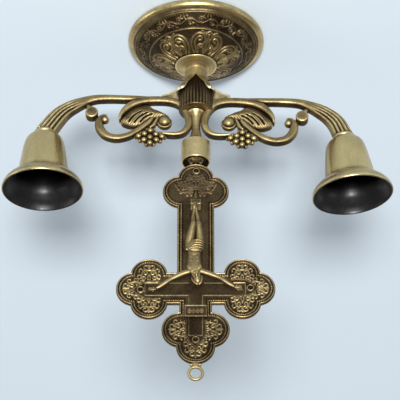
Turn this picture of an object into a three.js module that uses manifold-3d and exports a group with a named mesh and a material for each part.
// Standing altar crucifix with two bell-shaped candle cups. Millimetres, +Z up, the crucifix faces -Y.
// The origin is the centre of the felt underside, so the part stands on z = 0.
import * as THREE from 'three';
import * as BufferGeometryUtils from 'three/addons/utils/BufferGeometryUtils.js';
import Module from 'manifold-3d';

const wasm = await Module();
wasm.setup();

const GAP = 0.3;

// Foot and stem, from the table upwards.
const FELT = { radius: 45.5, thick: 1.2 };
const BASE = { radius: 50, top: 25.5, boss: 21.5, topRadius: 15.5, lip: 0.5 };
const COLLAR = { radius: 15.3, neck: 6.3, top: 31.3 };
const CALYX = { ferrule: 8.1, top: 54.1, tip: 25.2 };
const KNOP = { radius: 12.6, bottom: 36.1, top: 67 };
const COLUMN = { bottom: 67.3, top: 93.5, foot: 6, waist: 2.6 };
const BOLT = { shank: 2.5, hole: 2.8, headAcross: 9, headBottom: 15.9, headTop: 19.9, end: 69 };

// Socket that takes the crucifix stem.
const SOCKET = { radius: 10.4, wall: 1.2, bottom: 93.8, floor: 96, top: 110.3 };
const SOCKET_SCREW = { shank: 1.5, hole: 1.8, head: 4.2, headTop: 99.3, end: 84 };
const PLUG = { radius: 8.9, bottom: 99.6, top: 106, square: 5.6 };
const TANG = { square: 5, bottom: 100.4, shoulder: 106.3, shoulderTop: 108.3, shoulderRadius: 5.5 };

// Crucifix plate.
const PLATE = { thick: 3, bottom: 112, top: 270.9, armZ: 213, armHalf: 55, barHalf: 12.9 };
const LOBE = { radius: 12.9, side: 10.4 };
const LOOP = { radius: 4.7, wire: 1.05, z: 277.9 };
const TITLE = { halfWidth: 7.8, bottom: 226.8, top: 236.1, thick: 1.2 };
const FOOT_BLOCK = { halfWidth: 3.6, bottom: 141.5, top: 150.5, depth: 2.2 };
const FIGURE_Y = -4.6;
const NAILS = { hand_left: [-28.2, 213], hand_right: [28.8, 214.6], feet: [0.5, 149.3] };

// Arms. Both castings are tilted a little clockwise, in degrees, seen from the front.
const ARM = { depth: 3.7, tilt: 1.4, pivotZ: 100 };
const SEAT = { radius: 8, thick: 2.4 };

// Candle cups: the centre of each mouth, and its lean in degrees towards -X and towards +Y.
const CUP = { height: 46.4, hole: 2.7, studRadius: 2.4, studTop: 9.4, studDepth: 6, recess: 1.1 };
const CUPS = {
  left: { side: -1, mouth: new THREE.Vector3(-111.4, 2, 136.2), lean: 6.2, back: 2.4 },
  right: { side: 1, mouth: new THREE.Vector3(108.7, 0, 133.2), lean: 0, back: 0 },
};
const WASHER = { radius: 6.9, thick: 0.6 };

const finish = {
  brass: { color: 0xb3a26a, roughness: 0.34, metalness: 1 },
  brightBrass: { color: 0xc9b87c, roughness: 0.3, metalness: 1 },
  bronze: { color: 0x4b4134, roughness: 0.5, metalness: 1 },
  steel: { color: 0x8c8c88, roughness: 0.4, metalness: 1 },
  felt: { color: 0x2c3a30, roughness: 1, metalness: 0 },
};

const group = new THREE.Group();

// --- solids -------------------------------------------------------------------------------------

// A closed three.js geometry as a solid, with its faces pointing out.
function solid(geometry) {
  const bare = geometry.clone();
  for (const name of ['normal', 'uv']) bare.deleteAttribute(name);
  const merged = BufferGeometryUtils.mergeVertices(bare, 1e-4);
  const points = merged.attributes.position.array;
  const triangles = [];
  for (let i = 0; i < merged.index.count; i += 3) {
    const [a, b, c] = [0, 1, 2].map((k) => merged.index.getX(i + k));
    if (a !== b && b !== c && c !== a) triangles.push(a, b, c);
  }
  if (signedVolume(points, triangles) < 0) {
    for (let i = 0; i < triangles.length; i += 3) {
      [triangles[i + 1], triangles[i + 2]] = [triangles[i + 2], triangles[i + 1]];
    }
  }
  return new wasm.Manifold(new wasm.Mesh({
    numProp: 3,
    vertProperties: new Float32Array(points),
    triVerts: new Uint32Array(triangles),
  }));
}

function signedVolume(points, triangles) {
  const at = (i) => new THREE.Vector3().fromArray(points, 3 * i);
  let six = 0;
  for (let i = 0; i < triangles.length; i += 3) {
    six += at(triangles[i]).dot(at(triangles[i + 1]).cross(at(triangles[i + 2])));
  }
  return six;
}

function unite(solids) {
  return solids.reduce((all, next) => all.add(next));
}

function add(name, body, look, parent = group) {
  const mesh = body.getMesh();
  const geometry = new THREE.BufferGeometry();
  geometry.setAttribute('position', new THREE.BufferAttribute(mesh.vertProperties, 3));
  geometry.setIndex(new THREE.BufferAttribute(mesh.triVerts, 1));
  geometry.computeVertexNormals();
  const node = new THREE.Mesh(geometry, new THREE.MeshStandardMaterial(look));
  node.name = name;
  parent.add(node);
}

// A solid of revolution about Z. The outline is a list of [radius, height].
function turned(outline, segments) {
  const points = outline.map(([radius, height]) => new THREE.Vector2(radius, height));
  return solid(new THREE.LatheGeometry(points, segments).rotateX(Math.PI / 2));
}

// The same with a hole: the outline closes on itself.
function turnedRing(outline, segments) {
  return turned([...outline, outline[0]], segments);
}

// An upright cylinder from one height to another.
function post(radius, bottom, top, sides = 16) {
  const shape = new THREE.CylinderGeometry(radius, radius, top - bottom, sides);
  return solid(shape.rotateX(Math.PI / 2).translate(0, 0, (top + bottom) / 2));
}

// A cylinder along Y, centred at (x, z), between two values of y.
function disc(radius, front, back, x, z, sides = 16) {
  const shape = new THREE.CylinderGeometry(radius, radius, back - front, sides);
  return solid(shape.translate(x, (back + front) / 2, z));
}

function block(low, high) {
  const size = high.map((value, i) => value - low[i]);
  const middle = high.map((value, i) => (value + low[i]) / 2);
  return solid(new THREE.BoxGeometry(...size).translate(...middle));
}

// A flat outline in the XZ plane, given thickness along Y.
function slab(outline, front, back) {
  const shape = new THREE.Shape(outline.map(([x, z]) => new THREE.Vector2(x, z)));
  const flat = new THREE.ExtrudeGeometry(shape, { depth: back - front, bevelEnabled: false });
  return solid(flat.rotateX(Math.PI / 2).translate(0, back, 0));
}

function ball(x, y, z, size, across = 8, around = 6) {
  const shape = new THREE.SphereGeometry(1, across, around).scale(...size);
  return solid(shape.translate(x, y, z));
}

// A bar that follows a curve in the XZ plane. Each station is [x, z, half width in the plane, half depth, y].
function bar(stations, sides, steps) {
  const curve = new THREE.CatmullRomCurve3(stations.map(([x, z]) => new THREE.Vector3(x, 0, z)));
  const sizes = stations.map(([, , width, depth, y]) => new THREE.Vector3(width, depth, y ?? 0));
  const widths = new THREE.CatmullRomCurve3(sizes);
  const shape = new THREE.CylinderGeometry(1, 1, 1, sides, steps);
  const position = shape.attributes.position;
  for (let i = 0; i < position.count; i += 1) {
    const along = position.getY(i) + 0.5;
    const centre = curve.getPoint(along);
    const tangent = curve.getTangent(along);
    const [width, depth, y] = widths.getPoint(along).toArray();
    const across = width * position.getX(i);
    position.setXYZ(
      i,
      centre.x - tangent.z * across,
      y + depth * position.getZ(i),
      centre.z + tangent.x * across,
    );
  }
  return solid(shape);
}

// --- foot and stem --------------------------------------------------------------------------------

function makeBase() {
  const rim = { radius: BASE.radius - 3.4, z: 4, size: 3.4 };
  const outline = [[36, 1.5], [FELT.radius + GAP, 1.5], [FELT.radius + GAP, BASE.lip]];
  for (let degrees = -75; degrees <= 90; degrees += 33) {
    const angle = THREE.MathUtils.degToRad(degrees);
    outline.push([rim.radius + rim.size * Math.cos(angle), rim.z + rim.size * Math.sin(angle)]);
  }
  outline.push([45.8, 8.2], [44.9, 9.8], [43.4, 9.5], [39, 12.9], [34.7, 15.7], [33.8, 17.2]);
  outline.push([32.4, 16.8], [24.5, 21.4], [BASE.topRadius, BASE.top], [BOLT.hole, BASE.top]);
  outline.push([BOLT.hole, BASE.boss], [9, BASE.boss], [11, 23], [31, 14], [39.5, 8]);
  add('base_foot', turnedRing(outline, 36), finish.brass);
  const pad = [[0, 0], [FELT.radius, 0], [FELT.radius, FELT.thick], [0, FELT.thick]];
  add('felt_pad', turned(pad, 32), finish.felt);
}

function makeCollar() {
  const outline = [[BOLT.hole, BASE.top + GAP], [14.7, BASE.top + GAP], [COLLAR.radius, 26.3]];
  outline.push([COLLAR.radius, 27], [12.6, 27.4], [9.8, 28.3], [7.6, 29.6], [COLLAR.neck, COLLAR.top]);
  outline.push([BOLT.hole, COLLAR.top]);
  add('base_collar', turnedRing(outline, 28), finish.brightBrass);
}

// A ferrule that opens into two petals, left and right, with a V between them front and back.
function makeCalyx() {
  const bottom = COLLAR.top + GAP;
  const outer = [[CALYX.ferrule, bottom], [CALYX.ferrule, 39.5], [9.3, 42.2], [12, 46], [13.2, 49.5]];
  const underPetal = [[15.5, 51.8], [20, 52.7], [CALYX.tip, 52.9]];
  const onPetal = [[CALYX.tip, CALYX.top], [19.5, 54], [15, 53.2], [12.9, 51.6]];
  const inner = [[12.2, 49.5], [10.8, 46], [8.8, 43], [7.3, 40], [6.3, 35.8]];
  inner.push([BOLT.hole, 35.8], [BOLT.hole, bottom]);
  const flare = turnedRing([...outer, ...underPetal, ...onPetal, ...inner], 28);
  const leaf = new THREE.Shape();
  leaf.moveTo(-CALYX.tip, 0);
  leaf.bezierCurveTo(-16, -6, -13.5, -13.5, 0, -13.5);
  leaf.bezierCurveTo(13.5, -13.5, 16, -6, CALYX.tip, 0);
  leaf.bezierCurveTo(16, 6, 13.5, 13.5, 0, 13.5);
  leaf.bezierCurveTo(-13.5, 13.5, -16, 6, -CALYX.tip, 0);
  const leafPrism = new THREE.ExtrudeGeometry(leaf, { depth: 60, bevelEnabled: false, curveSegments: 5 });
  const notchSide = [[6.6, 45.6], [8.8, 51.5], [9.8, 57]];
  const mirrored = notchSide.map(([x, z]) => [-x, z]).reverse();
  const notch = slab([[0, 38.2], ...notchSide, ...mirrored], -40, 40);
  add('stem_calyx', flare.intersect(solid(leafPrism)).subtract(notch), finish.brass);
}

// Cuts a stem piece back where the C-scrolls of the arms pass, with a fitting gap.
function cutSaddles(body) {
  const scrolls = [-1, 1].map((side) => armPart(side, innerScroll(GAP + 0.1), ARM.depth + GAP + 0.1));
  return body.subtract(scrolls[0]).subtract(scrolls[1]);
}

function makeKnop() {
  const outline = [[BOLT.hole, KNOP.bottom], [5.2, KNOP.bottom], [6.7, 40], [8.3, 44], [10.3, 48]];
  outline.push([11.9, 52.5], [KNOP.radius, 57], [12.5, 66.4], [11.9, KNOP.top], [BOLT.hole, KNOP.top]);
  add('reeded_knop', cutSaddles(turnedRing(outline, 28)), finish.bronze);
}

// A solid spool with a tapped blind hole at each end. The scrolls of the arms are brazed to its waist.
function makeColumn() {
  const outline = [[0, BOLT.end + 1], [BOLT.hole, BOLT.end], [BOLT.hole, COLUMN.bottom]];
  outline.push([COLUMN.foot, COLUMN.bottom], [COLUMN.foot, 67.9], [4.6, 69.8], [3.7, 72.5]);
  outline.push([3, 76], [COLUMN.waist, 80], [2.8, 83.5], [3.6, 87], [4.8, 90.5]);
  outline.push([6.4, 92.4], [6.4, COLUMN.top], [SOCKET_SCREW.hole, COLUMN.top]);
  outline.push([SOCKET_SCREW.hole, SOCKET_SCREW.end], [0, SOCKET_SCREW.end - 1]);
  add('centre_column', cutSaddles(turned(outline, 20)), finish.brass);
}

function makeBaseBolt() {
  const washerTop = BASE.boss - GAP;
  const washerBottom = BOLT.headTop + GAP;
  const washer = [[BOLT.hole, washerBottom], [7.5, washerBottom], [7.5, washerTop], [BOLT.hole, washerTop]];
  add('base_washer', turnedRing(washer, 20), finish.steel);
  const head = post(BOLT.headAcross / Math.sqrt(3), BOLT.headBottom, BOLT.headTop, 6);
  add('base_bolt', head.add(post(BOLT.shank, BOLT.headTop - 1, BOLT.end - 0.4, 12)), finish.steel);
}

// --- arms -----------------------------------------------------------------------------------------

// Stations of the C-scroll, from the grapes round the column and along the bottom to its pointed end.
function innerScroll(extra = 0) {
  const stations = [[24, 87.4, 1.3], [16, 87.6, 1.5], [10, 85.6, 2], [6.5, 81, 2.4], [5.7, 75.2, 2.6]];
  stations.push([7.6, 68, 2.6], [12.4, 61.8, 2.5], [20, 58.3, 2.5], [30, 57.6, 2.5], [40, 58.5, 2.5]);
  stations.push([47, 61.6, 2.4], [51.6, 66, 2], [54.2, 71, 1.4], [54.4, 75.6, 0.8]);
  return stations.map(([x, z, half]) => [x, z, half + extra]);
}

const LOWER_BAR = [[38, 57.4, 2.3], [50, 57.3, 2.5], [61, 57.2, 2.6], [69, 57.3, 2.8], [75, 58.2, 3.1]]
  .concat([[81, 60.3, 3.8], [88, 63.8, 4.7], [95, 68.6, 5.6], [101, 75.4, 6.5]]);
const VINE = [[30.8, 70.3, 1.7], [33, 75.5, 1.8], [37, 80.2, 2], [43, 85.4, 2.2], [49.8, 89.6, 2.4]]
  .concat([[57.8, 91.2, 2.5], [65.2, 88.8, 2.8], [69.6, 83.2, 3.1], [70.4, 77.2, 2.9], [67.6, 73.8, 2.3]]);
const LEAF = [[20, 72.6], [25, 68.8], [31, 66], [37, 65.4], [44, 67.4], [51, 71.8], [55, 76], [53.8, 79.4]]
  .concat([[48.5, 81.6], [43, 81.8], [37.5, 79.8], [32, 75.3], [26, 73.4]]);
const GRAPES = [[33.1, 95.6], [28.6, 93], [37.4, 93.2], [24.8, 90], [33.1, 90.9]]
  .concat([[41.2, 90], [29, 88], [37, 88], [33.1, 85.2]]);
const GRAPE_BACK = [[24, 88], [28.4, 93], [33.1, 95.6], [37.8, 93], [42, 88], [37, 82], [33, 77], [30, 83]];
const BERRY = [23.2, 76.2, 4.7];
const BOSS = [76, 71.4, 4.4];
const BOSS_STEM = [[82, 60, 2.2], [77.5, 66, 2.2], [74, 72, 2.2], [70.5, 78, 1.8]];

// A bar of the arm: its drawn half depth, turned to its side and tilted about the column.
function armPart(side, stations, depth, sides = 7, steps = 16) {
  return toSide(side, bar(stations.map(([x, z, half]) => [x, z, half, depth]), sides, steps));
}

function toSide(side, body) {
  const placed = side > 0 ? body : body.mirror([1, 0, 0]);
  return placed.translate([0, 0, -ARM.pivotZ]).rotate([0, ARM.tilt, 0]).translate([0, 0, ARM.pivotZ]);
}

// The last station of the lower bar: under the cup's seat, in the arm's own drawn frame.
function tipStation(cup) {
  const pivot = new THREE.Vector3(0, 0, ARM.pivotZ);
  const turn = -THREE.MathUtils.degToRad(ARM.tilt);
  const tip = cupPoint(cup, -SEAT.thick / 2).sub(pivot).applyAxisAngle(new THREE.Vector3(0, 1, 0), turn);
  return [cup.side * tip.x, tip.z + ARM.pivotZ, 7.3];
}

// A casting: C-scroll, lower bar with its thick tip, vine scroll, leaf, grapes, berry and boss.
function makeArm(side, name) {
  const cup = CUPS[name];
  const lowerBar = [...LOWER_BAR, tipStation(cup)];
  const deepTip = lowerBar.map(([x, z, half]) => [x, z, half, Math.max(ARM.depth, half)]);
  const pieces = [
    armPart(side, innerScroll(), ARM.depth),
    toSide(side, bar(deepTip, 9, 11)),
    armPart(side, VINE, ARM.depth - 0.4, 7, 10),
    toSide(side, slab(LEAF, -3.2, 1.4)),
    toSide(side, slab(GRAPE_BACK, -1.2, 2)),
    toSide(side, ball(BERRY[0], -0.4, BERRY[1], [BERRY[2], 3.6, BERRY[2]])),
    toSide(side, disc(BOSS[2], -5, 3.4, BOSS[0], BOSS[1])),
    armPart(side, BOSS_STEM, 2.2, 6, 3),
    ...GRAPES.map(([x, z]) => toSide(side, ball(x, -1.6, z, [2.1, 2.1, 2.1], 6, 4))),
  ];
  const seat = onCup(cup, post(SEAT.radius, -SEAT.thick, 0, 18));
  const studHole = onCup(cup, post(CUP.hole, -CUP.studDepth, 1, 10));
  const aboveSeat = onCup(cup, post(2 * SEAT.radius, 0, SEAT.radius, 12));
  const body = unite([...pieces, seat]).subtract(studHole).subtract(aboveSeat);
  add(`arm_${name}`, body, finish.brass);
}

// --- candle cups ----------------------------------------------------------------------------------

// Moves a body drawn on the Z axis, with the arm's seat at z = 0, to a cup's place and lean.
function onCup(cup, body) {
  return body.rotate([-cup.back, -cup.lean, 0]).translate(cupPoint(cup, 0).toArray());
}

// The point on a cup's axis at a height above its seat.
function cupPoint(cup, height) {
  const [back, lean] = [-cup.back, -cup.lean].map(THREE.MathUtils.degToRad);
  const axis = new THREE.Vector3(0, 0, 1).applyEuler(new THREE.Euler(back, lean, 0, 'ZYX'));
  return cup.mouth.clone().addScaledVector(axis, height - CUP.height);
}

function makeCup(name) {
  const cup = CUPS[name];
  const inside = [[CUP.hole, 6.3], [5.2, 6.3], [5.6, 4.2], [11.4, 4.4], [13, 7], [15.4, 21]];
  inside.push([17.2, 30], [20.2, 36.4], [24.2, 41.2], [27.8, CUP.height]);
  const outside = [[28.5, CUP.height], [29, 45.2], [28.2, 42.6], [23.6, 37], [19.6, 32.4]];
  outside.push([17.3, 25.5], [15.8, 13], [14, 5.6], [11.6, 2.6], [8.2, GAP]);
  const recessTop = GAP + CUP.recess;
  const recess = [[WASHER.radius + 0.4, GAP], [WASHER.radius + 0.4, recessTop], [CUP.hole, recessTop]];
  add(`candle_cup_${name}`, onCup(cup, turnedRing([...inside, ...outside, ...recess], 24)), finish.brass);
  const washerBottom = GAP;
  const washerTop = washerBottom + WASHER.thick;
  const washer = [[CUP.hole, washerBottom], [WASHER.radius, washerBottom], [WASHER.radius, washerTop]];
  washer.push([CUP.hole, washerTop]);
  add(`cup_washer_${name}`, onCup(cup, turnedRing(washer, 16)), finish.steel);
  const stud = post(CUP.studRadius, GAP - CUP.studDepth, CUP.studTop, 10);
  add(`cup_stud_${name}`, onCup(cup, stud), finish.steel);
}

// --- socket and crucifix --------------------------------------------------------------------------

function makeSocket() {
  const bore = SOCKET.radius - SOCKET.wall;
  const outline = [[SOCKET_SCREW.hole, SOCKET.bottom], [SOCKET.radius, SOCKET.bottom]];
  outline.push([SOCKET.radius, SOCKET.top - 0.4], [SOCKET.radius - 0.4, SOCKET.top], [bore, SOCKET.top]);
  outline.push([bore, SOCKET.floor], [SOCKET_SCREW.hole, SOCKET.floor]);
  add('crucifix_socket', turnedRing(outline, 28), finish.brass);
  const headBottom = SOCKET.floor + GAP;
  const screw = [[0, SOCKET_SCREW.end + GAP], [SOCKET_SCREW.shank, SOCKET_SCREW.end + GAP]];
  screw.push([SOCKET_SCREW.shank, headBottom], [SOCKET_SCREW.head, headBottom], [SOCKET_SCREW.head, 98.4]);
  screw.push([3.4, SOCKET_SCREW.headTop], [0, SOCKET_SCREW.headTop]);
  add('socket_screw', turned(screw, 14), finish.steel);
  const half = PLUG.square / 2;
  const hole = block([-half, -half, PLUG.bottom - 1], [half, half, PLUG.top + 1]);
  add('socket_plug', post(PLUG.radius, PLUG.bottom, PLUG.top, 24).subtract(hole), finish.bronze);
}

function lobes(x, z, outX, outZ, reach) {
  const half = PLATE.thick / 2;
  const sideways = [outZ, outX].map((value) => Math.abs(value) * LOBE.side);
  return [
    disc(LOBE.radius, -half, half, x + outX * reach, z + outZ * reach, 24),
    disc(LOBE.radius, -half, half, x + sideways[0], z + sideways[1], 24),
    disc(LOBE.radius, -half, half, x - sideways[0], z - sideways[1], 24),
  ];
}

function nailHole(front) {
  return Object.values(NAILS).map(([x, z]) => disc(0.8, front, 0.4, x, z, 6));
}

function makePlate() {
  const half = PLATE.thick / 2;
  const reach = { top: 12, side: 10, foot: 10 };
  const topZ = PLATE.top - LOBE.radius - reach.top;
  const footZ = PLATE.bottom + LOBE.radius + reach.foot;
  const sideX = PLATE.armHalf - LOBE.radius - reach.side;
  const pieces = [
    block([-PLATE.barHalf, -half, footZ], [PLATE.barHalf, half, topZ]),
    block([-sideX, -half, PLATE.armZ - PLATE.barHalf], [sideX, half, PLATE.armZ + PLATE.barHalf]),
    ...lobes(0, topZ, 0, 1, reach.top),
    ...lobes(0, footZ, 0, -1, reach.foot),
    ...lobes(-sideX, PLATE.armZ, -1, 0, reach.side),
    ...lobes(sideX, PLATE.armZ, 1, 0, reach.side),
  ];
  const body = nailHole(-half - 1).reduce((plate, hole) => plate.subtract(hole), unite(pieces));
  add('crucifix_plate', body, finish.bronze);
}

// The stem under the crucifix: a square pin, a shoulder, a neck, and a tab brazed behind the plate.
function makeTang() {
  const half = TANG.square / 2;
  const neckTop = PLATE.bottom - GAP;
  const tabFront = PLATE.thick / 2 + GAP;
  const body = unite([
    block([-half, -half, TANG.bottom], [half, half, TANG.shoulder + 0.5]),
    post(TANG.shoulderRadius, TANG.shoulder, TANG.shoulderTop, 20),
    block([-half, -half, TANG.shoulderTop - 0.5], [half, half, neckTop]),
    block([-4.5, 0.5, neckTop - 2], [4.5, tabFront + 1.8, neckTop]),
    block([-4.5, tabFront, neckTop - 0.5], [4.5, tabFront + 1.8, PLATE.bottom + 12]),
  ]);
  add('crucifix_tang', body, finish.brass);
}

function makeTitle() {
  const back = -PLATE.thick / 2 - GAP;
  const low = [-TITLE.halfWidth, back - TITLE.thick, TITLE.bottom];
  add('title_plate', block(low, [TITLE.halfWidth, back, TITLE.top]), finish.bronze);
}

function makeLoop() {
  const ring = new THREE.TorusGeometry(LOOP.radius, LOOP.wire, 6, 20).rotateX(Math.PI / 2);
  ring.translate(0, 0, LOOP.z);
  const neck = block([-2.4, -1.2, PLATE.top + GAP], [2.4, 1.2, LOOP.z - LOOP.radius + 0.2]);
  add('hanging_loop', solid(ring).add(neck), finish.brass);
}

function makeFootBlock() {
  const back = -PLATE.thick / 2 - GAP;
  const side = [[back, FOOT_BLOCK.bottom], [back - FOOT_BLOCK.depth, FOOT_BLOCK.bottom + 1.2]];
  side.push([back - FOOT_BLOCK.depth, 146.4], [back, FOOT_BLOCK.top]);
  const shape = new THREE.Shape(side.map(([y, z]) => new THREE.Vector2(y, z)));
  const width = 2 * FOOT_BLOCK.halfWidth;
  const profile = new THREE.ExtrudeGeometry(shape, { depth: width, bevelEnabled: false });
  profile.rotateX(Math.PI / 2).rotateZ(Math.PI / 2).translate(FOOT_BLOCK.halfWidth - width, 0, 0);
  const body = nailHole(-12).reduce((wedge, hole) => wedge.subtract(hole), solid(profile));
  add('foot_block', body, finish.brass);
}

// The figure: one casting, pinned through both hands and the feet.
function makeFigure() {
  const y = FIGURE_Y;
  const limb = (stations) => bar(stations, 6, 6);
  const pieces = [
    limb([[0.3, 203, 3.4, 2.2, y], [0.4, 199.5, 5.8, 2.5, y], [0.6, 194.5, 5.3, 2.6, y],
      [1.2, 189.5, 4.4, 2.4, y], [1, 184, 5.4, 2.6, y], [0.8, 179, 5.6, 2.6, y]]),
    limb([[-2.2, 180.5, 3, 2.4, y], [-2.5, 174, 2.5, 2.4, y], [-2.4, 167, 2, 2.3, y - 0.8],
      [-1.5, 160, 1.7, 1.8, y - 0.5], [-0.1, 152, 1.3, 1.4, y - 0.9]]),
    limb([[3.6, 180.5, 3, 2.4, y], [3.6, 174.5, 2.7, 2.5, y - 0.6], [2, 168, 2.2, 2.4, y - 1.2],
      [1.6, 160, 1.8, 1.8, y - 0.9], [1, 152, 1.3, 1.4, y - 1.1]]),
    limb([[0.5, 153, 1.9, 1.3, y - 1], [0.5, 149.5, 1.8, 1.3, y - 1.1], [0.5, 147, 1.1, 1, y - 1.2]]),
    limb([[-1.8, 200.6, 2, 1.9, y], [-5, 202.4, 1.8, 1.7, y], [-10, 204.4, 1.3, 1.3, y + 0.6],
      [-16.5, 207.6, 1.1, 1.2, y + 0.9], [-24, 211.4, 0.9, 1, y + 1.2], [-28.2, 213, 1.4, 0.8, y + 1.4],
      [-31, 213.6, 0.9, 0.6, y + 1.5]]),
    limb([[2.4, 200.6, 2, 1.9, y], [5.6, 202.6, 1.8, 1.7, y], [10.4, 205, 1.3, 1.3, y + 0.6],
      [17, 208.8, 1.1, 1.2, y + 0.9], [24.4, 212.8, 0.9, 1, y + 1.2], [28.8, 214.6, 1.4, 0.8, y + 1.4],
      [31.8, 215.2, 0.9, 0.6, y + 1.5]]),
    limb([[0.9, 186.5, 5.2, 2.9, y], [0.8, 182.4, 6.1, 3.1, y], [0.9, 178, 6, 3, y]]),
    ball(0, y - 0.3, 205, [1.9, 1.9, 3]),
    ball(-0.9, y - 0.9, 208.7, [3.5, 3.7, 5.2]),
  ];
  const body = nailHole(-12).reduce((figure, hole) => figure.subtract(hole), unite(pieces));
  add('corpus', body, finish.brightBrass);
}

function makeNails() {
  for (const [name, [x, z]] of Object.entries(NAILS)) {
    const front = name === 'feet' ? FIGURE_Y - 2.7 : FIGURE_Y + 0.1;
    const nail = disc(0.5, front - 0.3, 0, x, z, 6).add(disc(0.9, front - 0.6, front - 0.1, x, z, 8));
    add(`nail_${name}`, nail, finish.bronze);
  }
}

makeBase();
makeCollar();
makeCalyx();
makeKnop();
makeColumn();
makeBaseBolt();
for (const [name, cup] of Object.entries(CUPS)) {
  makeArm(cup.side, name);
  makeCup(name);
}
makeSocket();
makePlate();
makeTang();
makeTitle();
makeLoop();
makeFootBlock();
makeFigure();
makeNails();

export default group;
